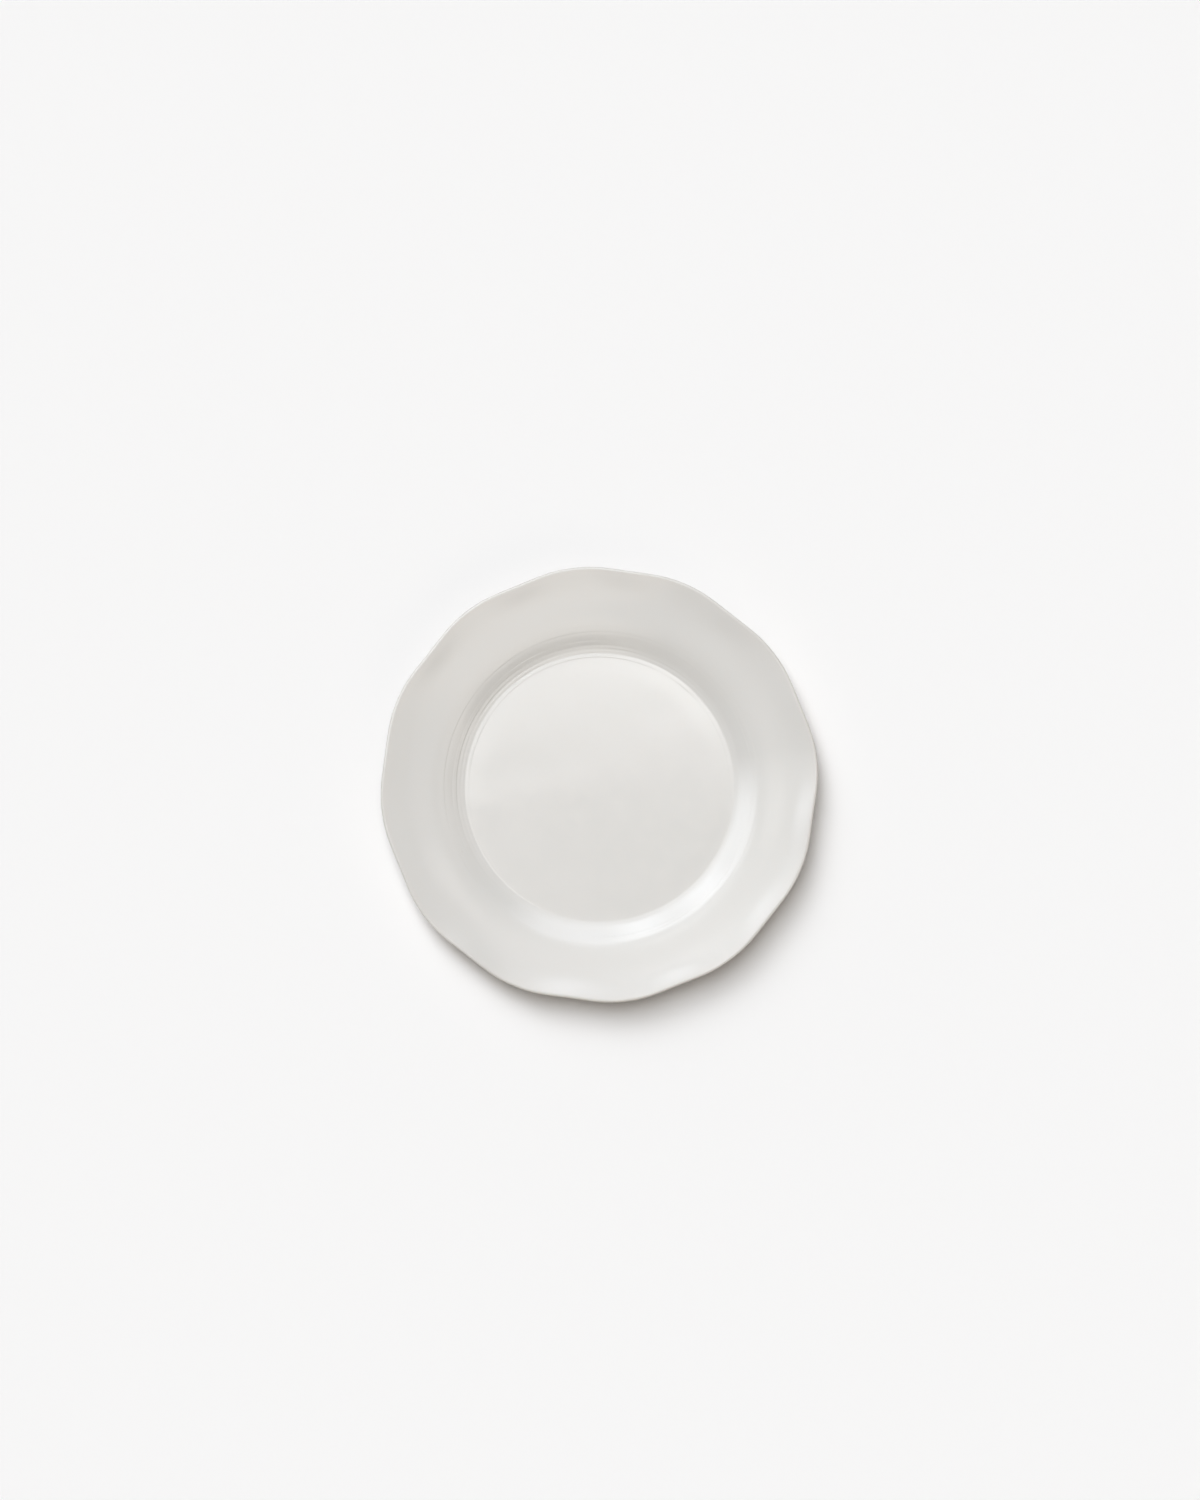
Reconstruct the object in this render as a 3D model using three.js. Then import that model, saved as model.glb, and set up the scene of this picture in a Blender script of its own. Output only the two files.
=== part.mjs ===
// A glazed soup plate: a round well, a wide rim with a softly lobed edge, and a foot ring.
// Millimetres, +Z up. The origin is where the plate's axis meets the table.

import * as THREE from "three";

// Driving dimensions of the section, from the axis outwards. Angles are in degrees.
const floorDiameter = 152.4; // of the well's floor, to where its line meets the wall's
const wellDepth = 7.6; // from the floor up to where the wall's line meets the rim's
const wallAngle = 34; // of the well's wall, from level
const rimWidth = 32.5; // from the wall's line to the outermost edge, over the glaze
const rimAngle = 10; // of the rim, from level
const flareWidth = 12; // of the outer part of the rim, which turns up more steeply
const flareAngle = 20; // of that part, from level
const floorRound = 7; // radius between floor and wall
const shoulderRound = 21; // radius between wall and rim
const flareRound = 94; // radius where the rim turns up
const clayThickness = 4.6; // of the fired clay, from the floor to where the rim starts to thin
const lipThickness = 1.8; // of the clay at the lip
const taperWidth = 24; // of the part of the rim that thins to the lip
const glazeThickness = 0.4; // of each coat of glaze

// Driving dimensions of the lobed edge.
const lobeCount = 12;
const lobeDip = 1.6; // how far the edge draws in between two lobes
const lobeLift = 0.6; // how far it rises there
const lobeReach = 16; // how far in from the edge the lobes are felt
const lobeTurn = 22; // angle of the first dip, from +X towards +Y
const dipSharpness = 1.3; // above 1 the dips are narrower than the lobes

// Driving dimensions of the foot ring.
const footHeight = 3.2; // from the table to the underside of the clay
const footRootWidth = 8; // where the ring meets the underside
const footFaceWidth = 4.5; // of the bare face that it stands on
const footSetIn = 1.7; // from where the underside turns up to the ring
const seatDepth = 0.6; // of the groove in the clay that the ring is luted into
const bareHeight = 1.3; // of the sides of the ring, wiped clean of glaze

// How finely the round shapes are cut.
const stepsPerLobe = 6;
const arcSteps = 3;
const lipSteps = 6;

const rad = THREE.MathUtils.degToRad;
const quarterTurn = Math.PI / 2;
const point = (radius, height) => new THREE.Vector2(radius, height);

// The unit vector to the left of the way from one point to the next.
function leftOf(from, to) {
  const way = to.clone().sub(from).normalize();
  return point(-way.y, way.x);
}

// A line from start to end through corners, each rounded by an arc of its own radius, or by the largest
// that the lines beside it have room for: two corners share the line between them evenly.
function roundedLine(start, corners, end) {
  const stops = [start, ...corners.map((corner) => corner.at), end];
  const line = [start];
  corners.forEach(({ at, round }, index) => {
    const back = stops[index].clone().sub(at).normalize();
    const onward = stops[index + 2].clone().sub(at).normalize();
    const halfAngle = back.angleTo(onward) / 2;
    const roomBefore = at.distanceTo(stops[index]) / (index > 0 ? 2 : 1);
    const roomAfter = at.distanceTo(stops[index + 2]) / (index < corners.length - 1 ? 2 : 1);
    const reach = Math.min(round / Math.tan(halfAngle), roomBefore, roomAfter);
    const radius = reach * Math.tan(halfAngle);
    const centre = back.clone().add(onward).setLength(reach / Math.cos(halfAngle)).add(at);
    const first = at.clone().addScaledVector(back, reach).sub(centre).angle();
    const last = at.clone().addScaledVector(onward, reach).sub(centre).angle();
    const clockwise = back.cross(onward) > 0;
    const arc = new THREE.EllipseCurve(centre.x, centre.y, radius, radius, first, last, clockwise);
    line.push(...arc.getPoints(arcSteps));
  });
  line.push(end);
  return line;
}

// The same line moved sideways by the distance for each point, to its left where that is positive.
function movedLine(line, distanceAt) {
  return line.map((at, index) => {
    const before = leftOf(line[Math.max(index - 1, 0)], line[Math.max(index, 1)]);
    const last = line.length - 1;
    const after = leftOf(line[Math.min(index, last - 1)], line[Math.min(index + 1, last)]);
    const mitre = distanceAt(at) / (1 + before.dot(after));
    return at.clone().addScaledVector(before.add(after), mitre);
  });
}

// The face of the clay, from the axis over floor, wall, rim and flare to the start of the lip.
const floorHeight = footHeight + clayThickness;
const floorCorner = point(floorDiameter / 2, floorHeight);
const wallRun = wellDepth / Math.tan(rad(wallAngle));
const shoulderCorner = point(floorCorner.x + wallRun, floorHeight + wellDepth);
const edgeRadius = shoulderCorner.x + rimWidth;
const lipRadius = lipThickness / 2;
const lipStartRadius = edgeRadius - glazeThickness - lipRadius * (1 + Math.sin(rad(flareAngle)));
const flareStartRadius = lipStartRadius - flareWidth;
const rimRise = (flareStartRadius - shoulderCorner.x) * Math.tan(rad(rimAngle));
const flareCorner = point(flareStartRadius, shoulderCorner.y + rimRise);
const lipStart = point(lipStartRadius, flareCorner.y + flareWidth * Math.tan(rad(flareAngle)));
const face = roundedLine(
  point(0, floorHeight),
  [
    { at: floorCorner, round: floorRound },
    { at: shoulderCorner, round: shoulderRound },
    { at: flareCorner, round: flareRound },
  ],
  lipStart,
);

// The underside lies one thickness of clay below the face, and a half circle joins them at the lip.
function clayAt({ x: radius }) {
  const thinned = THREE.MathUtils.smoothstep(radius, lipStartRadius - taperWidth, lipStartRadius);
  return THREE.MathUtils.lerp(clayThickness, lipThickness, thinned);
}
const underside = movedLine(face, (at) => -clayAt(at));
const lipCentre = lipStart.clone().add(underside.at(-1)).divideScalar(2);
const { x: lipX, y: lipY } = lipCentre;
const lipFirst = rad(flareAngle) + quarterTurn;
const lipLast = rad(flareAngle) - quarterTurn;
const lipArc = new THREE.EllipseCurve(lipX, lipY, lipRadius, lipRadius, lipFirst, lipLast, true);
const lip = lipArc.getPoints(lipSteps).slice(1, -1);

// The foot ring's section: a groove in the underside takes its root, and its sides draw in to the face
// that it stands on.
const heelStart = underside[1];
const rootOuter = point(heelStart.x - footSetIn, footHeight);
const rootInner = point(rootOuter.x - footRootWidth, footHeight);
const grooveOuter = point(rootOuter.x, footHeight + seatDepth);
const grooveInner = point(rootInner.x, footHeight + seatDepth);
const faceInset = (footRootWidth - footFaceWidth) / 2;
const standOuter = point(rootOuter.x - faceInset, 0);
const standInner = point(rootInner.x + faceInset, 0);
const bareShare = bareHeight / footHeight;
const bareOuter = standOuter.clone().lerp(rootOuter, bareShare);
const bareInner = standInner.clone().lerp(rootInner, bareShare);

// The clay that glaze covers: over the face and lip and under the rim to the ring, and inside the ring.
const undersideOut = underside.slice(1).reverse();
const upperLine = [...face, ...lip];
const coveredOutside = [...upperLine, ...undersideOut, rootOuter, bareOuter];
const coveredInside = [bareInner, rootInner, underside[0]];
const glazeOutside = movedLine(coveredOutside, () => glazeThickness);
const glazeInside = movedLine(coveredInside, () => glazeThickness);

// How deep in a dip an angle is: 1 in the middle of the dip, 0 in the middle of a lobe.
function dipAt(angle) {
  const wave = (1 + Math.cos(lobeCount * (angle - rad(lobeTurn)))) / 2;
  return wave ** dipSharpness;
}

// Triangles between the neighbouring copies of a section. Each four-sided patch is cut from its inner edge
// on one copy to its outer edge on the copy before, whichever way the section runs, so that two pieces
// that meet along a patch share its triangles.
function patches(section, steps) {
  const rows = section.length;
  const triangles = [];
  for (let step = 0; step < steps; step++) {
    for (let row = 0; row < rows - 1; row++) {
      const here = step * rows + row;
      const next = here + rows;
      const outward = section[row + 1].x - section[row].x || section[row + 1].y - section[row].y;
      if (outward > 0) triangles.push(here, next, here + 1, next, next + 1, here + 1);
      else triangles.push(here, next, next + 1, here, next + 1, here + 1);
    }
  }
  return triangles;
}

// A section that runs clockwise, turned round the axis, with the edge drawn in and up between the lobes.
function turned(section) {
  const upward = section.toReversed();
  const steps = lobeCount * stepsPerLobe;
  const geometry = new THREE.LatheGeometry(upward, steps, quarterTurn + rad(lobeTurn));
  geometry.setIndex(patches(upward, steps));
  geometry.rotateX(quarterTurn);
  const place = geometry.attributes.position;
  for (let i = 0; i < place.count; i++) {
    const radius = Math.hypot(place.getX(i), place.getY(i));
    const angle = Math.atan2(place.getY(i), place.getX(i));
    const felt = THREE.MathUtils.smoothstep(radius, edgeRadius - lobeReach, edgeRadius) * dipAt(angle);
    const drawnIn = radius - lobeDip * felt;
    const lifted = place.getZ(i) + lobeLift * felt;
    place.setXYZ(i, drawnIn * Math.cos(angle), drawnIn * Math.sin(angle), lifted);
  }
  geometry.computeVertexNormals();
  return geometry;
}

// The section between a covered stretch of clay and the glaze surface over it.
function coat(glaze, clay) {
  return [...glaze, ...clay.toReversed()];
}

// A loop ends where it starts.
function closed(section) {
  return [...section, section[0]];
}

const seam = upperLine.length + 1; // the face's coat ends just past the lip, where the back's starts
const sections = {
  clay_body: [
    ...upperLine,
    ...undersideOut,
    rootOuter,
    grooveOuter,
    grooveInner,
    rootInner,
    underside[0],
  ],
  foot_ring: closed([
    grooveInner,
    grooveOuter,
    rootOuter,
    bareOuter,
    standOuter,
    standInner,
    bareInner,
    rootInner,
  ]),
  face_glaze: coat(glazeOutside.slice(0, seam), coveredOutside.slice(0, seam)),
  back_glaze: closed(coat(glazeOutside.slice(seam - 1), coveredOutside.slice(seam - 1))),
  recess_glaze: [...coveredInside.toReversed(), ...glazeInside],
};

const clay = new THREE.MeshStandardMaterial({ color: 0xd9cdbb, roughness: 0.85, metalness: 0 });
const glaze = new THREE.MeshStandardMaterial({ color: 0xe4e2dd, roughness: 0.22, metalness: 0 });
const finishes = {
  clay_body: clay,
  foot_ring: clay.clone(),
  face_glaze: glaze,
  back_glaze: glaze.clone(),
  recess_glaze: glaze.clone(),
};

const plate = new THREE.Group();
plate.name = "soup_plate";
for (const [name, section] of Object.entries(sections)) {
  const piece = new THREE.Mesh(turned(section), finishes[name]);
  piece.name = name;
  plate.add(piece);
}

export default plate;
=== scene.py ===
import math

import bpy
import numpy as np
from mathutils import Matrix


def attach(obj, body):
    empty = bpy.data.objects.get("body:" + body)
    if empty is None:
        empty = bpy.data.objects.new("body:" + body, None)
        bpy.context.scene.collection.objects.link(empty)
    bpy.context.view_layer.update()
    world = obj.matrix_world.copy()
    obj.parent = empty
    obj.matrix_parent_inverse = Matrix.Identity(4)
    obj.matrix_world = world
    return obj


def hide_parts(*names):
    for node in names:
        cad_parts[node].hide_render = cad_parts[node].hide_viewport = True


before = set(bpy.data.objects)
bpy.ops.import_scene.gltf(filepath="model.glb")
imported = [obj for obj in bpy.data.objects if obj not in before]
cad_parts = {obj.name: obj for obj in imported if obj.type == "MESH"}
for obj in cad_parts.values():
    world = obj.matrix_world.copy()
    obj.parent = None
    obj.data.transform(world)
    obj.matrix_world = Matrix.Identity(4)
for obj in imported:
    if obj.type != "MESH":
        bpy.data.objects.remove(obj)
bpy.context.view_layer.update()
print("frame loaded:", ", ".join(sorted(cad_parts)))

mm = 0.001
turns = 288  # steps round the axis, 24 to a lobe
angles = np.linspace(0.0, 2.0 * np.pi, turns, endpoint=False)
creaseAngle = 50.0  # degrees between two faces, past which their edge stays sharp


# Line helpers

# Cubic step: 0 before start, 1 after end, 3u^2 - 2u^3 between.
def smoothStep(value, start, end):
    u = np.clip((value - start) / (end - start), 0.0, 1.0)
    return u * u * (3.0 - 2.0 * u)


# Bell: exp(-((value - centre) / width)^2).
def bell(value, centre, width):
    return np.exp(-(((value - centre) / width) ** 2))


# Waves round the plate: the sum of share * sin(count * angle + phase).
def waves(angle, parts):
    return sum(share * np.sin(count * angle + phase) for count, phase, share in parts)


# Several stretches of evenly spaced stations, one after another, each end written once.
def stations(stops, counts):
    parts = [np.linspace(a, b, n, endpoint=False) for a, b, n in zip(stops, stops[1:], counts)]
    return np.concatenate(parts + [[stops[-1]]])


# Arc of a circle in the section, from one angle to another.
def arcLine(centre, radius, first, last, count):
    turn = np.radians(np.linspace(first, last, count))
    return np.stack([centre[0] + radius * np.cos(turn), centre[1] + radius * np.sin(turn)], axis=1)


# Level line in the section.
def levelLine(radius, height):
    return np.stack([radius, np.full(len(radius), height)], axis=1)


# The plate's section, in millimetres and degrees

plateForm = {
    "floorRadius": 76.2,  # of the well's floor, to where its line meets the wall's
    "wellDepth": 7.6,
    "wallAngle": 34.0,  # of the solids' wall, which gives the rim its place
    "rimWidth": 32.5,
    "rimAngle": 10.0,  # of the solids' rim and flare, which give the flare's bend its place
    "flareWidth": 12.0,
    "flareAngle": 20.0,
    "floorRound": 7.0,  # of the solids' bend from floor to wall, which gives the foot ring its place
    "flareRound": 94.0,
    "softening": 1.1,  # how much further than a plain arc the flare's bend is drawn out
    "wallBends": ((73.7, 75.6), (75.6, 80.0), (80.6, 95.2)),  # where it starts, steepens and eases off
    "wallStart": 21.0,  # slope that the wall starts with
    "wallSteepest": 32.0,
    "rimSlope": 8.6,
    "flareSlope": 19.0,
    "floorFall": 1.2,  # slope by which the floor falls towards the wall, at most
    "fallPlace": (68.5, 4.5),  # radius of that and how far it spreads
    "clay": 4.6,
    "lip": 1.8,  # thickness of the clay at the lip
    "taperWidth": 24.0,  # of the part of the rim that thins to it
    "glaze": 0.4,
    "footHeight": 3.2,
    "rowStops": (0.0, 60.0, 70.5, 92.0, 100.0),  # radii between which the rows are evenly spaced
    "rowCounts": (36, 14, 118, 10, 26),
    "lipRows": 25,
    "clayStep": 3,  # the clay takes one row in three of these
    "coatStep": 4,  # and the hidden side of a coat of glaze one in four
}


# Reach of a bend along the radius on either side of its corner: r tan(turn / 2), times each side's cosine.
def bendSpan(corner, radius, before, after):
    reach = plateForm["softening"] * radius * math.tan(math.radians(abs(after - before)) / 2.0)
    start = corner - reach * math.cos(math.radians(before))
    return (start, corner + reach * math.cos(math.radians(after)))


# Face of the clay from the axis to the start of the lip: the sine of its slope climbs by a cubic step at
# each bend, less a bell where the floor falls, and its height is the running sum of the slope's tangent.
def faceLine():
    form = plateForm
    floorHeight = form["footHeight"] + form["clay"]
    wallRun = form["wellDepth"] / math.tan(math.radians(form["wallAngle"]))
    shoulderRadius = form["floorRadius"] + wallRun
    edge = shoulderRadius + form["rimWidth"]
    sineFlare = math.sin(math.radians(form["flareAngle"]))
    lipStart = edge - form["glaze"] - form["lip"] / 2.0 * (1.0 + sineFlare)
    flareStart = lipStart - form["flareWidth"]
    flareBend = bendSpan(flareStart, form["flareRound"], form["rimAngle"], form["flareAngle"])

    radius = stations([*form["rowStops"], lipStart], form["rowCounts"])
    slopes = ("wallStart", "wallSteepest", "rimSlope", "flareSlope")
    sines = [0.0] + [math.sin(math.radians(form[name])) for name in slopes]
    bends = [*form["wallBends"], flareBend]
    climbs = zip(sines, sines[1:], bends)
    sine = sum((after - before) * smoothStep(radius, *bend) for before, after, bend in climbs)
    sine = sine - math.sin(math.radians(form["floorFall"])) * bell(radius, *form["fallPlace"])
    slope = np.arcsin(sine)
    steps = np.diff(radius) * (np.tan(slope[1:]) + np.tan(slope[:-1])) / 2.0
    climb = np.concatenate([[0.0], np.cumsum(steps)])
    print("section: lip", round(float(climb[-1]), 2), "mm over the floor")

    line = np.stack([radius, floorHeight + climb], axis=1)
    normal = np.stack([-np.sin(slope), np.cos(slope)], axis=1)
    return line, normal, edge


face, faceNormal, edgeRadius = faceLine()
lipRadius = plateForm["lip"] / 2.0
taper = smoothStep(face[:, 0], face[-1, 0] - plateForm["taperWidth"], face[-1, 0])
clayDepth = plateForm["clay"] - (plateForm["clay"] - plateForm["lip"]) * taper
lipCentre = face[-1] - lipRadius * faceNormal[-1]


# The face line moved along its normal, by one distance or by one for each point.
def faceMoved(distance):
    return face + np.reshape(distance, (-1, 1)) * faceNormal


# Half circle round the lip, from over it to under it, its first point left to the line that it joins.
def lipLine(extra):
    flare = plateForm["flareSlope"]
    return arcLine(lipCentre, lipRadius + extra, flare + 90.0, flare - 90.0, plateForm["lipRows"])[1:]


# Lobes and the slight unevenness of a hand-finished edge. Waves are given as count, phase and share.

lobes = {
    "count": 12,
    "dip": 1.6,  # how far the edge draws in between two lobes
    "lift": 0.6,
    "reach": 16.0,
    "turn": 22.0,  # angle of the first dip
    "sharpness": 1.3,
    "uneven": 0.06,  # share by which the dips differ
    "unevenWaves": ((3.0, 0.7, 1.0), (5.0, 2.1, 1.0)),
    "wanderStart": 88.0,  # radius inside which the plate runs true
    "offCentre": 0.9,  # how far the rim sits from the well's centre, towards +Y
    "offCentreSpan": (80.0, 100.0),  # radii over which that comes in
    "waver": 0.12,  # slow wander of the edge in plan
    "waverWaves": ((2.0, 1.1, 1.0), (5.0, 0.4, 0.6)),
    "warp": 0.16,  # slow rise and fall of the rim from the kiln
    "warpWaves": ((2.0, 2.6, 1.0), (3.0, 0.9, 0.5)),
}


# Each point is drawn in by dip * felt and lifted by lift * felt, where felt is a cubic step over the reach
# times ((1 + cos(12 (angle - turn))) / 2) ^ sharpness; the slow waves and the shift towards +Y come on top.
def lobed(radius, height, angle):
    wave = (1.0 + np.cos(lobes["count"] * (angle - math.radians(lobes["turn"])))) / 2.0
    depth = 1.0 + lobes["uneven"] * waves(angle, lobes["unevenWaves"])
    near = smoothStep(radius, edgeRadius - lobes["reach"], edgeRadius)
    felt = near * wave ** lobes["sharpness"] * depth
    outward = smoothStep(radius, lobes["wanderStart"], edgeRadius)
    wander = lobes["waver"] * outward * waves(angle, lobes["waverWaves"])
    wander = wander + lobes["offCentre"] * np.sin(angle) * smoothStep(radius, *lobes["offCentreSpan"])
    warp = lobes["warp"] * outward * (waves(angle, lobes["warpWaves"]) - 1.0)
    return radius - lobes["dip"] * felt + wander, height + lobes["lift"] * felt + warp


# Turning lines left by the rib, as low steps in the glaze

turning = {
    "steps": [  # radius, height, half width, angle where it is strongest
        (71.9, 0.070, 0.26, 122.0),
        (73.3, -0.070, 0.26, 130.0),
        (74.5, 0.130, 0.26, 128.0),
        (75.7, -0.120, 0.26, 138.0),
        (76.9, 0.140, 0.26, 122.0),
        (78.8, 0.150, 0.30, 172.0),
        (80.6, -0.120, 0.30, 155.0),
        (82.8, 0.055, 0.28, 305.0),
        (83.6, 0.035, 0.35, 10.0),
        (84.4, -0.050, 0.28, 318.0),
        (85.4, 0.130, 0.30, 170.0),
        (87.4, -0.040, 0.35, 345.0),
    ],
    "easing": 2.2,  # half the width over which the surface comes back after a step
    "fading": 3,  # power by which a step fades away from its strongest angle
    "faintest": 0.12,  # of a step's height, on its far side
    "broken": 0.6,  # share of it that comes and goes along the line
    "breaks": 9.0,  # times round the plate, shifted to and fro by the next two
    "breakShift": 2.0,
    "breakShifts": 4.0,
    "rib": 0.002,  # of the even ripple over the rest of the face
    "ribSpan": (70.0, 78.0),  # radii over which it comes in
    "ribPitch": 2.6,
    "ribShift": 0.8,
    "swell": 0.0045,  # of the slow waves in the glaze
    "swellWaves": 7,
    "swellPitch": (24.0, 46.0),
    "swellSeed": 7,
}


# Slow waves across the glaze: the sum of sines of the place along directions of their own.
def swellHeight(radius, angle):
    seeded = np.random.default_rng(turning["swellSeed"])
    total = 0.0
    for pitch in np.linspace(*turning["swellPitch"], turning["swellWaves"]):
        heading, phase = seeded.uniform(0.0, 2.0 * np.pi, 2)
        total = total + np.sin(2.0 * np.pi * radius * np.cos(angle - heading) / pitch + phase)
    return turning["swell"] * total


# Sum of narrow cubic steps, each less a broad one and strongest at its own angle, a ripple
# sin(2 pi r / pitch) and the swell.
def turningHeight(radius, angle):
    ripple = np.sin(2.0 * np.pi * radius / turning["ribPitch"] + turning["ribShift"] * np.sin(angle))
    ripple = turning["rib"] * smoothStep(radius, *turning["ribSpan"]) * ripple
    total = ripple + swellHeight(radius, angle)
    easing, faintest = turning["easing"], turning["faintest"]
    for place, height, half, strongest in turning["steps"]:
        share = (1.0 + np.cos(angle - math.radians(strongest))) / 2.0
        share = faintest + (1.0 - faintest) * share ** turning["fading"]
        shift = turning["breakShift"] * np.sin(turning["breakShifts"] * angle + place)
        share = share * (1.0 + turning["broken"] * np.sin(turning["breaks"] * angle + shift))
        narrow = smoothStep(radius, place - half, place + half)
        step = narrow - smoothStep(radius, place - easing, place + easing)
        total = total + height * share * step
    return total


# Mesh from a section turned round the axis

# A section that runs clockwise, each row carried round the axis by x = r cos a, y = r sin a. Rows on the
# axis become single points; a loop has none and closes on itself. Rows may differ from angle to angle, and
# the marked ones carry the turning lines.
def spun(name, section, loop=False, marked=None):
    rows = section[:, None, :] if section.ndim == 2 else section
    rows = np.broadcast_to(rows, (len(section), turns, 2))
    radius, height = rows[..., 0], rows[..., 1]
    if marked is not None:
        height = height + marked[:, None] * turningHeight(radius, angles[None, :])
    radius, height = lobed(radius, height, angles[None, :])
    places = np.stack([radius * np.cos(angles), radius * np.sin(angles), height], axis=2) * mm

    inner = places if loop else places[1:-1]
    grid = np.arange(len(inner) * turns).reshape(len(inner), turns)
    near = grid if loop else grid[:-1]
    far = np.roll(grid, -1, axis=0) if loop else grid[1:]
    quads = np.stack([near, far, np.roll(far, -1, axis=1), np.roll(near, -1, axis=1)], axis=2)
    faces = quads.reshape(-1, 4).tolist()
    points = inner.reshape(-1, 3)
    if not loop:
        poles = places[[0, -1], 0] * (0.0, 0.0, 1.0)
        points = np.concatenate([points, poles])
        first, last = grid[0], grid[-1]
        start = np.full(turns, grid.size)
        fans = [np.stack([start, first, np.roll(first, -1)], axis=1)]
        fans.append(np.stack([last, start + 1, np.roll(last, -1)], axis=1))
        faces += np.concatenate(fans).tolist()

    mesh = bpy.data.meshes.new(name)
    mesh.from_pydata(points.tolist(), [], faces)
    mesh.shade_smooth()
    mesh.set_sharp_from_angle(angle=math.radians(creaseAngle))
    piece = bpy.data.objects.new(name, mesh)
    bpy.context.scene.collection.objects.link(piece)
    print(name, len(points), "points")
    return piece


# The same rows for each angle.
def allRound(line):
    return np.repeat(np.asarray(line)[:, None, :], turns, axis=1)


# Foot ring's places, under the flat of the floor

footForm = {
    "rootWidth": 8.0,
    "faceWidth": 4.5,
    "setIn": 1.7,  # from where the underside turns up to the ring
    "seat": 0.6,  # depth of the groove that it is luted into
    "bare": 1.3,  # how far up its sides the glaze was wiped off
    "bareWaver": 0.14,
    "bareWaves": ((3.0, 0.5, 1.0), (8.0, 0.0, 0.6)),
    "sanded": 0.7,  # radius of the sanded edges
    "glazeStart": 0.12,  # share of the way down the side at which its own rows of glaze start
    "bead": 0.22,  # swelling of the glaze where it ends
    "beadWidth": 0.14,  # share of the way down the side, up from the wiped line to the bead's middle
    "cove": 1.1,  # radius of the glaze in the corner above the ring
    "coveShare": 0.93,  # of that radius, from the corner to the centre
    "coveTurn": 86.0,  # of the cove's arc
    "coveGap": 0.05,  # between the cove and the next row down the side
    "levelGap": 0.6,  # between the cove and the next row on the level
}
footRows = {
    "edge": 7, "stand": 6, "side": 8,  # of the bare ring
    "glazeSide": 9, "bead": 7, "cove": 9, "glazeLevel": 40,
    "claySide": 5, "clayLevel": 12,  # of the clay under the glaze
}

footHeight = plateForm["footHeight"]
plainReach = plateForm["floorRound"] * math.tan(math.radians(plateForm["wallAngle"]) / 2.0)
rootOuter = plateForm["floorRadius"] - plainReach - footForm["setIn"]
rootInner = rootOuter - footForm["rootWidth"]
draft = (footForm["rootWidth"] - footForm["faceWidth"]) / 2.0
standOuter = rootOuter - draft
standInner = rootInner + draft
grooveHeight = footHeight + footForm["seat"]
glazeLevel = footHeight - plateForm["glaze"]  # height of the glaze under the floor


# Height of the wiped line, which wavers by slow sines.
def bareLine(angle):
    return footForm["bare"] + footForm["bareWaver"] * waves(angle, footForm["bareWaves"])


# Clay body: face, lip and underside in one line, with the groove for the ring.
def makeClayBody():
    step = plateForm["clayStep"]
    under = faceMoved(-clayDepth)
    under = under[under[:, 0] > rootOuter][::-1]
    groove = np.array([
        [rootOuter, footHeight],
        [rootOuter, grooveHeight],
        [rootInner, grooveHeight],
        [rootInner, footHeight],
        [0.0, footHeight],
    ])
    section = [face[:-1:step], face[-1:], lipLine(0.0)[::step], under[::step], groove]
    return spun("clayBody", np.concatenate(section))


# Foot ring: two leaning sides and a flat standing face, its edges rounded by sanding.
def makeFootRing():
    lean = math.degrees(math.atan2(draft, footHeight))
    soft = footForm["sanded"]
    inset = soft * math.tan(math.radians(45.0 - lean / 2.0))
    outerEdge = arcLine((standOuter - inset, soft), soft, -lean, -90.0, footRows["edge"])
    innerEdge = arcLine((standInner + inset, soft), soft, -90.0, -180.0 + lean, footRows["edge"])
    outerSide = np.linspace([rootOuter, footHeight], outerEdge[0], footRows["side"])[:-1]
    innerSide = np.linspace(innerEdge[-1], [rootInner, footHeight], footRows["side"])[1:]
    stand = np.linspace(outerEdge[-1], innerEdge[0], footRows["stand"])[1:-1]
    seat = np.array([[rootInner, grooveHeight], [rootOuter, grooveHeight]])
    section = [seat, outerSide, outerEdge, stand, innerEdge, innerSide]
    return spun("footRing", np.concatenate(section), loop=True)


# Coat of glaze over the well, rim and lip, with its turning lines, back along the clay.
def makeFaceGlaze():
    glaze, step = plateForm["glaze"], plateForm["coatStep"]
    outside = np.concatenate([faceMoved(glaze), lipLine(glaze)])
    inside = np.concatenate([face[::step], lipLine(0.0)[step - 1::step]])[::-1]
    section = np.concatenate([outside, inside])
    marked = np.where(np.arange(len(section)) < len(face), 1.0, 0.0)
    return spun("faceGlaze", section, marked=marked)


# Glaze down one side of the ring: straight along the side from its top, swelling to a bead by a bell and
# rounded off where it was wiped. Rows by angles, because the wiped line wavers.
def sideGlaze(root, stand, outwards):
    width = footForm["beadWidth"]
    place = 1.0 - width
    straight = np.linspace(footForm["glazeStart"], place, footRows["glazeSide"])
    rounded = 1.0 - width * np.cos(np.linspace(0.0, np.pi / 2, footRows["bead"]))[1:]
    along = np.concatenate([straight, rounded])
    wiped = bareLine(angles)
    height = footHeight + along[:, None] * (wiped[None, :] - footHeight)
    side = stand + (root - stand) * height / footHeight
    swell = plateForm["glaze"] + footForm["bead"] * bell(along, place, width)
    ending = np.sqrt(np.clip(1.0 - ((along - place) / width).clip(0.0) ** 2, 0.0, 1.0))
    return np.stack([side + outwards * (swell * ending)[:, None], height], axis=2)


# Clay side of the ring under that glaze, from the wiped line up to the root.
def sideClay(root, stand):
    height = np.linspace(bareLine(angles), np.full(turns, footHeight), footRows["claySide"])
    return np.stack([stand + (root - stand) * height / footHeight, height], axis=2)[1:]


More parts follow.
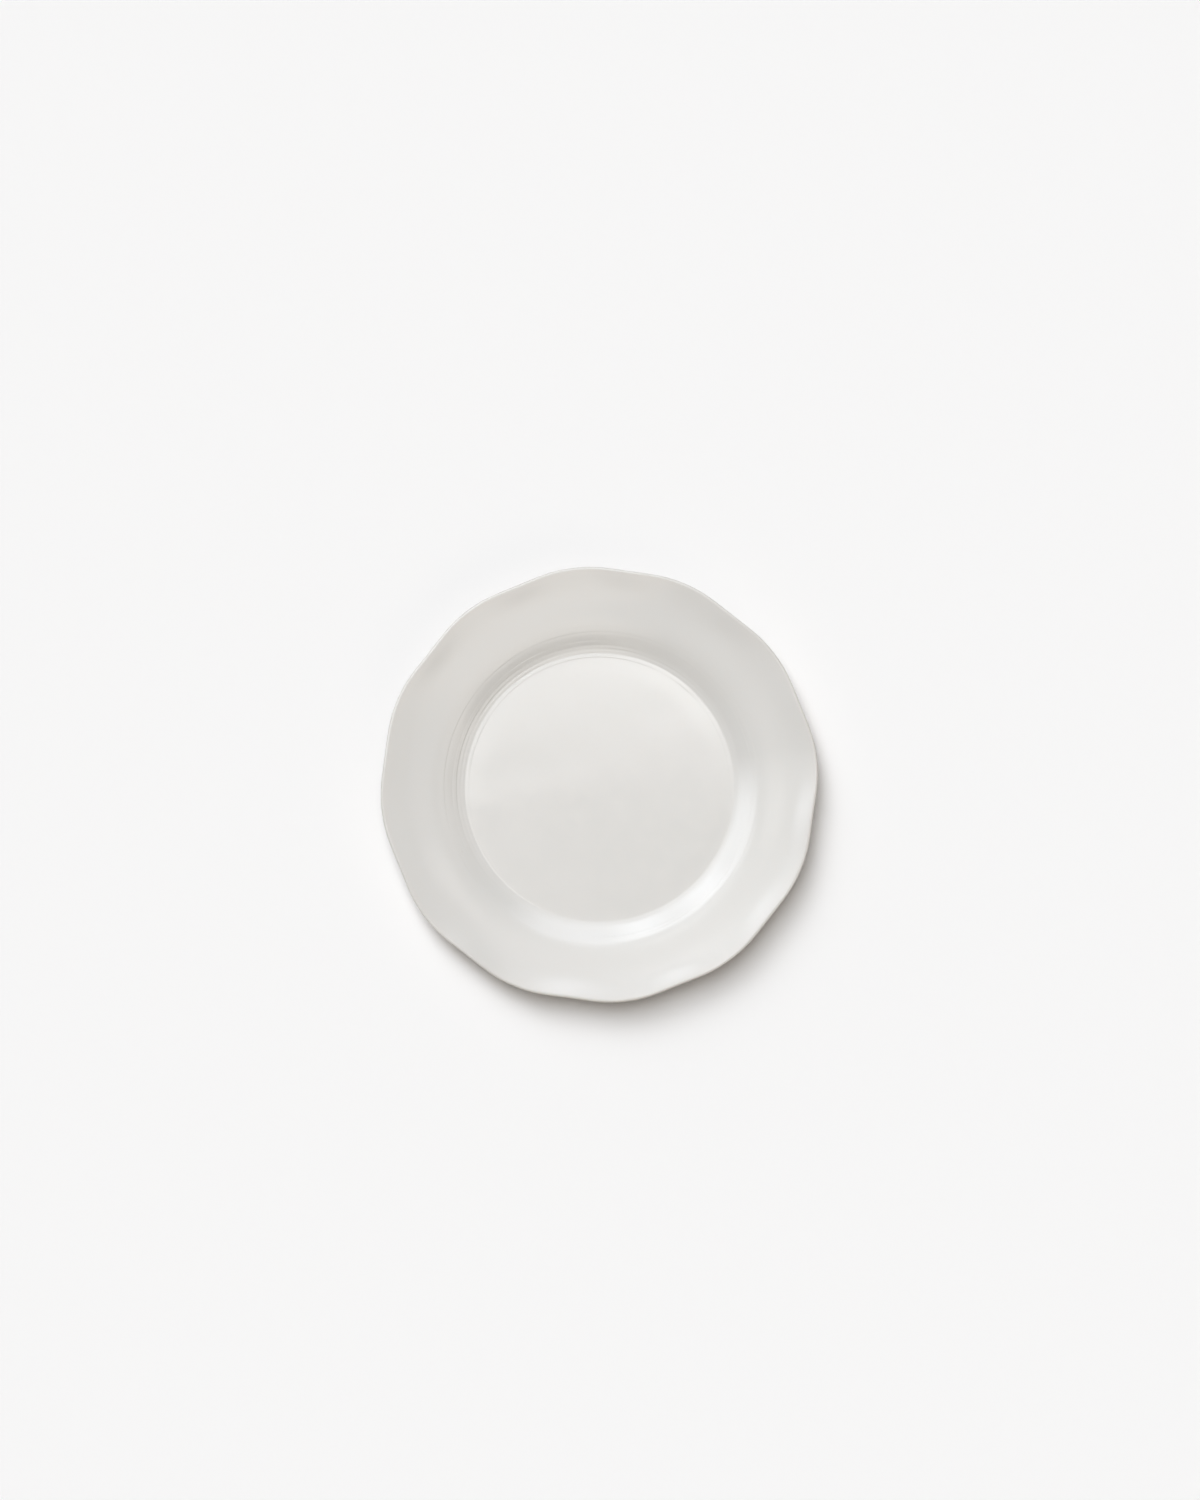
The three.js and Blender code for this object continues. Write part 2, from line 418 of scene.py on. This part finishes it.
# Cove of glaze between the ring and the floor's underside: an arc, outwards of a root or inwards of it.
def coveLine(root, outwards, first, last):
    sink = footForm["cove"] * footForm["coveShare"]
    centre = (root + outwards * (plateForm["glaze"] + sink), glazeLevel - sink)
    return arcLine(centre, footForm["cove"], first, last, footRows["cove"])


# Coat of glaze under the rim and down the ring to the wiped line, back along the clay.
def makeBackGlaze():
    glaze = plateForm["glaze"]
    under = faceMoved(-clayDepth - glaze)
    under = under[under[:, 0] > rootOuter + glaze + footForm["cove"]][::-1]
    cove = coveLine(rootOuter, 1.0, 90.0, 90.0 + footForm["coveTurn"])
    ring = sideGlaze(rootOuter, standOuter, 1.0)
    ring = ring[ring[:, 0, 1] < cove[-1, 1] - footForm["coveGap"]]
    clay = faceMoved(-clayDepth)
    lipEnd = clay[-1:]
    clay = clay[clay[:, 0] > rootOuter][:-1:plateForm["coatStep"]]
    section = [allRound(under), allRound(cove), ring]
    section += [sideClay(rootOuter, standOuter), allRound(clay), allRound(lipEnd)]
    return spun("backGlaze", np.concatenate(section), loop=True)


# Coat of glaze inside the ring: the underside of the floor, a soft corner, and down to the wiped line.
def makeRecessGlaze():
    cove = coveLine(rootInner, -1.0, 90.0 - footForm["coveTurn"], 90.0)
    ring = sideGlaze(rootInner, standInner, -1.0)[::-1]
    ring = ring[ring[:, 0, 1] < cove[0, 1] - footForm["coveGap"]]
    levelStart = cove[-1, 0] - footForm["levelGap"]
    level = levelLine(stations([levelStart, 0.0], [footRows["glazeLevel"]]), glazeLevel)
    clay = levelLine(stations([0.0, rootInner], [footRows["clayLevel"]]), footHeight)
    section = [allRound(clay), sideClay(rootInner, standInner)[:-1][::-1]]
    section += [ring, allRound(cove), allRound(level)]
    return spun("recessGlaze", np.concatenate(section))


pieces = {
    "clay_body": makeClayBody(),
    "foot_ring": makeFootRing(),
    "face_glaze": makeFaceGlaze(),
    "back_glaze": makeBackGlaze(),
    "recess_glaze": makeRecessGlaze(),
}
for node, piece in pieces.items():
    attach(piece, "root")
    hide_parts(node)
print("pieces made:", ", ".join(piece.name for piece in pieces.values()))


# Shader helpers

def addNode(tree, kind, **values):
    node = tree.nodes.new(kind)
    for name, value in values.items():
        setattr(node, name, value)
    return node


# Links or sets each named input of a node; i0, i1 and so on stand for inputs by their place.
def feed(tree, node, **inputs):
    for name, value in inputs.items():
        socket = node.inputs[int(name[1:]) if name[0] == "i" and name[1:].isdigit() else name]
        if isinstance(value, bpy.types.NodeSocket):
            tree.links.new(value, socket)
        else:
            socket.default_value = value
    return node


def mathNode(tree, operation, first, second=0.0, third=0.0):
    node = feed(tree, addNode(tree, "ShaderNodeMath", operation=operation), i0=first, i1=second, i2=third)
    return node.outputs[0]


def vectorNode(tree, operation, *inputs):
    node = addNode(tree, "ShaderNodeVectorMath", operation=operation)
    return feed(tree, node, **{f"i{place}": value for place, value in enumerate(inputs)}).outputs


def mixColour(tree, factor, first, second):
    node = addNode(tree, "ShaderNodeMix", data_type="RGBA")
    return feed(tree, node, i0=factor, i6=first, i7=second).outputs[2]


# A value carried evenly from 0 to 1 over to another range.
def spreadNode(tree, value, low, high):
    node = feed(tree, addNode(tree, "ShaderNodeMapRange"), Value=value)
    return feed(tree, node, **{"To Min": low, "To Max": high}).outputs["Result"]


# Cubic step of a value from 0 at start to the top at end.
def rampNode(tree, value, start, end, top=1.0):
    node = feed(tree, addNode(tree, "ShaderNodeMapRange", interpolation_type="SMOOTHSTEP"), Value=value)
    return feed(tree, node, **{"From Min": start, "From Max": end, "To Max": top}).outputs["Result"]


def noiseNode(tree, where, scale, detail):
    node = feed(tree, addNode(tree, "ShaderNodeTexNoise"), Vector=where, Scale=scale, Detail=detail)
    return node.outputs["Fac"]


def bumpNode(tree, height, distance, strength=1.0, normal=None, invert=False):
    node = addNode(tree, "ShaderNodeBump", invert=invert)
    feed(tree, node, Height=height, Distance=distance, Strength=strength)
    if normal is not None:
        feed(tree, node, Normal=normal)
    return node.outputs["Normal"]


# Group that takes a place and numbers, each with its usual value, and gives numbers.
def newGroup(name, numbers, results):
    tree = bpy.data.node_groups.new(name, "ShaderNodeTree")
    tree.interface.new_socket("Vector", in_out="INPUT", socket_type="NodeSocketVector")
    for socketName, value in numbers.items():
        socket = tree.interface.new_socket(socketName, in_out="INPUT", socket_type="NodeSocketFloat")
        socket.default_value = value
    for socketName in results:
        tree.interface.new_socket(socketName, in_out="OUTPUT", socket_type="NodeSocketFloat")
    return tree, tree.nodes.new("NodeGroupInput").outputs, tree.nodes.new("NodeGroupOutput")


def useGroup(tree, group, **inputs):
    return feed(tree, addNode(tree, "ShaderNodeGroup", node_tree=group), **inputs).outputs


groupLook = {
    "waverScale": 22.0,  # of the noise that wavers the rings
    "waverDetail": 1.0,
    "ringDetail": 3.0,
    "cloudDetail": 2.0,
    "mottleDetail": 4.0,
    "cloudRange": (0.3, 0.7),  # of the noise, spread to the full range
}


# Distance from the plate's axis, wavered by noise, read along a one-dimensional noise: rings like those a
# rib leaves on a turning plate.
def ringGroup():
    numbers = {"Pitch": 0.0015, "Waver": 0.001}
    tree, given, result = newGroup("turningRings", numbers, ("Height", "Radius"))
    flat = vectorNode(tree, "MULTIPLY", given["Vector"], (1.0, 1.0, 0.0))[0]
    radius = vectorNode(tree, "LENGTH", flat)["Value"]
    noise = noiseNode(tree, given["Vector"], groupLook["waverScale"], groupLook["waverDetail"])
    shift = mathNode(tree, "MULTIPLY", mathNode(tree, "SUBTRACT", noise, 0.5), given["Waver"])
    place = mathNode(tree, "DIVIDE", mathNode(tree, "ADD", radius, shift), given["Pitch"])
    rings = addNode(tree, "ShaderNodeTexNoise", noise_dimensions="1D")
    feed(tree, rings, W=place, Scale=1.0, Detail=groupLook["ringDetail"])
    feed(tree, result, Height=rings.outputs["Fac"], Radius=radius)
    return tree


# Cloudy noise at one size and a finer one over it, each spread to the full range.
def cloudGroup():
    numbers = {"Size": 0.05, "Fine Size": 0.004}
    tree, given, result = newGroup("glazeClouds", numbers, ("Cloud", "Mottle"))
    details = (groupLook["cloudDetail"], groupLook["mottleDetail"])
    for name, size, detail in zip(("Cloud", "Mottle"), numbers, details):
        noise = noiseNode(tree, given["Vector"], mathNode(tree, "DIVIDE", 1.0, given[size]), detail)
        feed(tree, result, **{name: rampNode(tree, noise, *groupLook["cloudRange"])})
    return tree


# Small round dots in the cells of a Voronoi pattern, kept only where the cell's random number is low.
def dotGroup():
    numbers = {"Spacing": 0.01, "Size": 0.0004, "Share": 0.2}
    tree, given, result = newGroup("kilnDots", numbers, ("Dot",))
    scale = mathNode(tree, "DIVIDE", 1.0, given["Spacing"])
    cells = feed(tree, addNode(tree, "ShaderNodeTexVoronoi"), Vector=given["Vector"], Scale=scale).outputs
    drawn = feed(tree, addNode(tree, "ShaderNodeSeparateColor"), Color=cells["Color"]).outputs[0]
    chosen = mathNode(tree, "LESS_THAN", drawn, given["Share"])
    distance = mathNode(tree, "MULTIPLY", cells["Distance"], given["Spacing"])
    inside = rampNode(tree, distance, given["Size"], 0.0)
    feed(tree, result, Dot=mathNode(tree, "MULTIPLY", chosen, inside))
    return tree


groups = {"rings": ringGroup(), "clouds": cloudGroup(), "dots": dotGroup()}


def newMaterial(name):
    material = bpy.data.materials.new(name)
    material.use_nodes = True
    return material, material.node_tree, material.node_tree.nodes["Principled BSDF"]


def objectPlace(tree):
    return addNode(tree, "ShaderNodeTexCoord").outputs["Object"]


# The three shared effects, placed in a material with the sizes that its look gives.
def useEffects(tree, where, look):
    sizes = {"Size": look["cloudSize"], "Fine Size": look["mottleSize"]}
    clouds = useGroup(tree, groups["clouds"], Vector=where, **sizes)
    rings = useGroup(tree, groups["rings"], Vector=where, Pitch=look["ringPitch"], Waver=look["ringWaver"])
    sizes = {"Spacing": look["dotSpacing"], "Size": look["dotSize"], "Share": look["dotShare"]}
    dots = useGroup(tree, groups["dots"], Vector=where, **sizes)
    return clouds, rings, dots["Dot"]


# Glaze: a warm off-white gloss, greener and deeper where it pools, warmer and thinner on the lip

glazeLook = {
    "thick": (0.738, 0.740, 0.728, 1.0),
    "thin": (0.748, 0.747, 0.736, 1.0),
    "warm": (0.748, 0.738, 0.718, 1.0),
    "pinhole": (0.42, 0.36, 0.29, 1.0),
    "roughness": (0.07, 0.12),
    "ior": 1.5,
    "cloudSize": 0.060,  # metres, as the sizes below are
    "mottleSize": 0.0035,
    "mottleShare": 0.35,
    "lipSpan": (0.113, 0.120),  # radii over which the glaze warms towards the lip
    "lipShare": 0.6,
    "ringPitch": 0.0016,
    "ringWaver": 0.0012,
    "ringBump": 0.0000012,
    "peelSize": 0.0022,
    "peelDetail": 1.0,
    "peelBump": 0.000001,
    "dotSpacing": 0.019,  # of the pinholes
    "dotSize": 0.00042,
    "dotShare": 0.22,
    "dotBump": 0.00012,
}


def makeGlaze(name, look):
    material, tree, shader = newMaterial(name)
    where = objectPlace(tree)
    clouds, rings, pits = useEffects(tree, where, look)

    tone = mixColour(tree, clouds["Cloud"], look["thin"], look["thick"])
    mottle = mathNode(tree, "MULTIPLY", clouds["Mottle"], look["mottleShare"])
    tone = mixColour(tree, mottle, tone, look["warm"])
    lip = rampNode(tree, rings["Radius"], *look["lipSpan"], look["lipShare"])
    tone = mixColour(tree, lip, tone, look["warm"])
    tone = mixColour(tree, pits, tone, look["pinhole"])
    sheen = spreadNode(tree, clouds["Mottle"], *look["roughness"])
    feed(tree, shader, **{"Base Color": tone, "Roughness": sheen, "IOR": look["ior"]})

    peel = noiseNode(tree, where, 1.0 / look["peelSize"], look["peelDetail"])
    normal = bumpNode(tree, rings["Height"], look["ringBump"])
    normal = bumpNode(tree, peel, look["peelBump"], normal=normal)
    normal = bumpNode(tree, pits, look["dotBump"], normal=normal, invert=True)
    feed(tree, shader, Normal=normal)
    return material


# Bare clay: buff, sanded matt, with grog and darker grit

clayLook = {
    "pale": (0.66, 0.57, 0.45, 1.0),
    "deep": (0.53, 0.44, 0.33, 1.0),
    "grit": (0.24, 0.17, 0.12, 1.0),
    "roughness": (0.72, 0.92),
    "ior": 1.45,
    "cloudSize": 0.018,
    "mottleSize": 0.0009,  # of the grain
    "mottleShare": 0.4,
    "mottleBump": 0.00009,
    "ringPitch": 0.0007,
    "ringWaver": 0.0004,
    "ringBump": 0.00008,
    "bumpStrength": 0.8,
    "dotSpacing": 0.0026,  # of the grit
    "dotSize": 0.00045,
    "dotShare": 0.16,
}


def makeClay(name, look):
    material, tree, shader = newMaterial(name)
    clouds, rings, grit = useEffects(tree, objectPlace(tree), look)

    tone = mixColour(tree, clouds["Cloud"], look["pale"], look["deep"])
    grain = mathNode(tree, "MULTIPLY", clouds["Mottle"], look["mottleShare"])
    tone = mixColour(tree, grain, tone, look["deep"])
    tone = mixColour(tree, grit, tone, look["grit"])
    dull = spreadNode(tree, clouds["Mottle"], *look["roughness"])
    feed(tree, shader, **{"Base Color": tone, "Roughness": dull, "IOR": look["ior"]})

    strength = look["bumpStrength"]
    normal = bumpNode(tree, rings["Height"], look["ringBump"], strength)
    normal = bumpNode(tree, clouds["Mottle"], look["mottleBump"], strength, normal)
    feed(tree, shader, Normal=normal)
    return material


finishes = {
    "clay_body": makeClay("biscuitClay", clayLook),
    "foot_ring": makeClay("sandedClay", {**clayLook, "roughness": (0.66, 0.86)}),
    "face_glaze": makeGlaze("faceGlaze", glazeLook),
    "back_glaze": makeGlaze("backGlaze", {**glazeLook, "ringBump": 0.000004}),
    "recess_glaze": makeGlaze("recessGlaze", {**glazeLook, "ringPitch": 0.0030, "ringBump": 0.000012}),
}
for node, piece in pieces.items():
    piece.data.materials.append(finishes[node])
print("finishes made:", ", ".join(material.name for material in finishes.values()))


# Direction on the sky at an azimuth and zenith.
def skyward(azimuth, zenith):
    side, tilt = math.radians(azimuth), math.radians(zenith)
    return (math.sin(tilt) * math.cos(side), math.sin(tilt) * math.sin(side), math.cos(tilt))


# Floor: a pale seamless sheet, clear from below. It is shaded as if it leaned to the light, and sends less
# light back to the plate than its colour would, so that the shadow is as deep as the photograph's.

floorLook = {
    "reach": 12.0,
    "colour": (0.966, 0.970, 0.978, 1.0),
    "bounce": (0.55, 0.50, 0.44, 1.0),  # its colour to the matt light that it sends back
    "leanTowards": 118.0,
    "lean": 20.0,
}


def makeFloor():
    mesh = bpy.data.meshes.new("floor")
    corners = np.array([[-1, -1, 0], [1, -1, 0], [1, 1, 0], [-1, 1, 0]]) * floorLook["reach"]
    mesh.from_pydata(corners.tolist(), [], [[0, 1, 2, 3]])
    floor = bpy.data.objects.new("floor", mesh)
    bpy.context.scene.collection.objects.link(floor)
    material, tree, shader = newMaterial("paleSheet")
    path = addNode(tree, "ShaderNodeLightPath").outputs
    seen = mathNode(tree, "MAXIMUM", path["Is Camera Ray"], path["Is Glossy Ray"])
    seen = mathNode(tree, "MAXIMUM", seen, path["Is Transmission Ray"])
    tone = mixColour(tree, seen, floorLook["bounce"], floorLook["colour"])
    x, y, z = skyward(floorLook["leanTowards"], floorLook["lean"])
    leaning = feed(tree, addNode(tree, "ShaderNodeCombineXYZ"), X=x, Y=y, Z=z).outputs["Vector"]
    feed(tree, shader, **{"Base Color": tone, "Roughness": 1.0, "Specular IOR Level": 0.0})
    feed(tree, shader, Normal=leaning)
    below = addNode(tree, "ShaderNodeNewGeometry").outputs["Backfacing"]
    clear = addNode(tree, "ShaderNodeBsdfTransparent").outputs[0]
    mixed = feed(tree, addNode(tree, "ShaderNodeMixShader"), i0=below, i1=shader.outputs[0], i2=clear)
    feed(tree, tree.nodes["Material Output"], Surface=mixed.outputs[0])
    mesh.materials.append(material)
    print("floor made")


makeFloor()


# Light, drawn on the sky. The gloss mirrors two wide soft screens that face each other across the plate
# with a dim gap between, and some glows; matt surfaces are lit by a narrow strip of glows, from over the
# plate down towards the main screen, and a weak one across from it.

# Degrees of the compass, then how far from the zenith each starts and ends, as sines. The header is a
# brighter band along the main screen's start.
screens = {
    "main": {
        "azimuth": 120.0, "half": 62.0, "blur": 14.0, "edge": 100.0, "near": 0.068, "nearBlur": 0.008,
        "far": 0.62, "farBlur": 0.14, "level": 1.32, "colour": (1.0, 1.0, 1.0),
    },
    "header": {
        "azimuth": 100.0, "half": 62.0, "blur": 12.0, "edge": 100.0, "near": 0.068, "nearBlur": 0.008,
        "far": 0.17, "farBlur": 0.05, "level": 1.50, "colour": (1.0, 1.0, 1.0),
    },
    "second": {
        "azimuth": 302.0, "half": 46.0, "blur": 16.0, "edge": 302.0, "near": 0.13, "nearBlur": 0.05,
        "far": 0.67, "farBlur": 0.10, "level": 1.15, "colour": (1.0, 0.915, 0.82),
    },
}
glossGlows = {  # azimuth, zenith and width in degrees, level, colour
    "lamp": (118.0, 40.0, 30.0, 1.25, (1.0, 1.0, 1.0)),
    "hotSpot": (64.0, 9.0, 6.0, 2.0, (1.0, 1.0, 1.0)),
    "lowLeft": (152.0, 63.0, 32.0, 3.6, (0.97, 1.0, 1.06)),
    "lowMiddle": (120.0, 64.0, 26.0, 3.9, (0.97, 1.0, 1.06)),
    "lowRight": (86.0, 63.0, 30.0, 3.9, (0.97, 1.0, 1.06)),
    "secondLamp": (288.0, 34.0, 28.0, 0.75, (1.0, 0.95, 0.89)),
    "sideLamp": (2.0, 56.0, 32.0, 0.9, (1.0, 0.96, 0.92)),
}
mattGlows = {
    "overhead": (0.0, 0.0, 18.0, 2.9, (1.0, 0.93, 0.85)),
    "high": (112.0, 12.0, 20.0, 4.85, (0.985, 1.0, 1.02)),
    "upper": (119.0, 25.0, 18.0, 2.4, (0.985, 1.0, 1.02)),
    "middle": (118.0, 38.0, 18.0, 5.6, (0.985, 1.0, 1.02)),
    "lower": (120.0, 52.0, 20.0, 1.45, (0.985, 1.0, 1.02)),
    "counter": (297.0, 58.0, 26.0, 1.9, (1.0, 0.88, 0.75)),
}
surround = {
    "gap": (0.06, 0.055, 0.048),
    "seen": (0.94, 0.94, 0.94, 1.0),  # the backdrop
    "skirt": (0.12, 0.46),  # height on the sky, as a sine, over which the screens and glows come up
    "low": (0.28, 0.262, 0.238),  # light below that
}
screenSizes = {  # the group's inputs, with their usual values
    "azimuth": 0.0, "half": 50.0, "blur": 10.0, "edge": 0.0,
    "near": 0.1, "nearBlur": 0.02, "far": 0.9, "farBlur": 0.1,
}


# Screen on the sky: a sector of the compass, ending towards the zenith at a straight edge across it.
def screenGroup():
    tree, given, result = newGroup("softScreen", screenSizes, ("Mask",))
    part = feed(tree, addNode(tree, "ShaderNodeSeparateXYZ"), Vector=given["Vector"]).outputs
    bearing = mathNode(tree, "DEGREES", mathNode(tree, "ARCTAN2", part["Y"], part["X"]))
    away = mathNode(tree, "PINGPONG", mathNode(tree, "SUBTRACT", bearing, given["azimuth"]), 180.0)
    turn = mathNode(tree, "RADIANS", given["edge"])
    alongX = mathNode(tree, "MULTIPLY", part["X"], mathNode(tree, "COSINE", turn))
    alongY = mathNode(tree, "MULTIPLY", part["Y"], mathNode(tree, "SINE", turn))
    along = mathNode(tree, "ADD", alongX, alongY)
    mask = 1.0
    for value, middle, blur, start, end in (
        (away, "half", "blur", "ADD", "SUBTRACT"),
        (along, "near", "nearBlur", "SUBTRACT", "ADD"),
        (along, "far", "farBlur", "ADD", "SUBTRACT"),
    ):
        first = mathNode(tree, start, given[middle], given[blur])
        last = mathNode(tree, end, given[middle], given[blur])
        mask = mathNode(tree, "MULTIPLY", mask, rampNode(tree, value, first, last))
    feed(tree, result, Mask=mask)
    return tree


# Adds a colour, as strong as its level, the mask and the share of the ray, to the light gathered so far.
def addLight(tree, light, mask, share, level, colour):
    strength = mathNode(tree, "MULTIPLY", mask, share)
    return vectorNode(tree, "MULTIPLY_ADD", strength, [level * part for part in colour], light)[0]


# The world is the light, mixed with the low light towards the horizon. The camera and rays that pass
# through see a pale backdrop.
def makeWorld():
    world = bpy.data.worlds.new("studio")
    world.use_nodes = True
    tree = world.node_tree
    tree.nodes.clear()
    where = addNode(tree, "ShaderNodeTexCoord").outputs["Generated"]
    path = addNode(tree, "ShaderNodeLightPath").outputs
    gloss = path["Is Glossy Ray"]
    matt = mathNode(tree, "SUBTRACT", 1.0, gloss)
    screenTree = screenGroup()

    light = surround["gap"]
    for screen in screens.values():
        inputs = {name: screen[name] for name in screenSizes}
        mask = useGroup(tree, screenTree, Vector=where, **inputs)["Mask"]
        light = addLight(tree, light, mask, gloss, screen["level"], screen["colour"])
    for glows, share in ((glossGlows, gloss), (mattGlows, matt)):
        for azimuth, zenith, width, level, colour in glows.values():
            toward = vectorNode(tree, "DOT_PRODUCT", where, skyward(azimuth, zenith))["Value"]
            spread = rampNode(tree, toward, math.cos(math.radians(width)), 1.0)
            light = addLight(tree, light, spread, share, level, colour)
    height = feed(tree, addNode(tree, "ShaderNodeSeparateXYZ"), Vector=where).outputs["Z"]
    light = mixColour(tree, rampNode(tree, height, *surround["skirt"]), (*surround["low"], 1.0), light)

    seen = mathNode(tree, "MAXIMUM", path["Is Camera Ray"], path["Is Transmission Ray"])
    lit = feed(tree, addNode(tree, "ShaderNodeBackground"), Color=light, Strength=1.0)
    pale = feed(tree, addNode(tree, "ShaderNodeBackground"), Color=surround["seen"], Strength=1.0)
    mixed = feed(tree, addNode(tree, "ShaderNodeMixShader"), i0=seen, i1=lit.outputs[0], i2=pale.outputs[0])
    feed(tree, addNode(tree, "ShaderNodeOutputWorld"), Surface=mixed.outputs[0])
    bpy.context.scene.world = world


makeWorld()
print("light made:", ", ".join([*screens, *glossGlows, *mattGlows]))


# Camera over the plate, leaning a little towards the near edge

photoView = {
    "imageSize": (1200, 1500),  # pixels
    "plateAcross": 438.2,  # pixels over the lobes
    "plateCentre": (599.3, 783.9),  # pixels, of the rim's edge
    "lens": 85.0,
    "sensor": 36.0,
    "lean": 4.0,  # degrees from straight down
}


def makeCamera():
    width, height = photoView["imageSize"]
    lean = math.radians(photoView["lean"])
    pixel = 2.0 * edgeRadius * mm / photoView["plateAcross"]
    distance = pixel * height * photoView["lens"] / photoView["sensor"]
    right = (width / 2.0 - photoView["plateCentre"][0]) * pixel
    up = (photoView["plateCentre"][1] - height / 2.0) * pixel + lobes["offCentre"] * mm
    lipHeight = lipCentre[1] * mm
    data = bpy.data.cameras.new("overhead")
    data.lens, data.sensor_width, data.sensor_fit = photoView["lens"], photoView["sensor"], "AUTO"
    camera = bpy.data.objects.new("overhead", data)
    camera.rotation_euler = (lean, 0.0, 0.0)
    camera.location = (
        right,
        up * math.cos(lean) - distance * math.sin(lean),
        lipHeight + up * math.sin(lean) + distance * math.cos(lean),
    )
    bpy.context.scene.collection.objects.link(camera)
    bpy.context.scene.camera = camera
    print("camera", round(distance, 3), "m away")


makeCamera()
bpy.context.scene.view_settings.view_transform = "Standard"
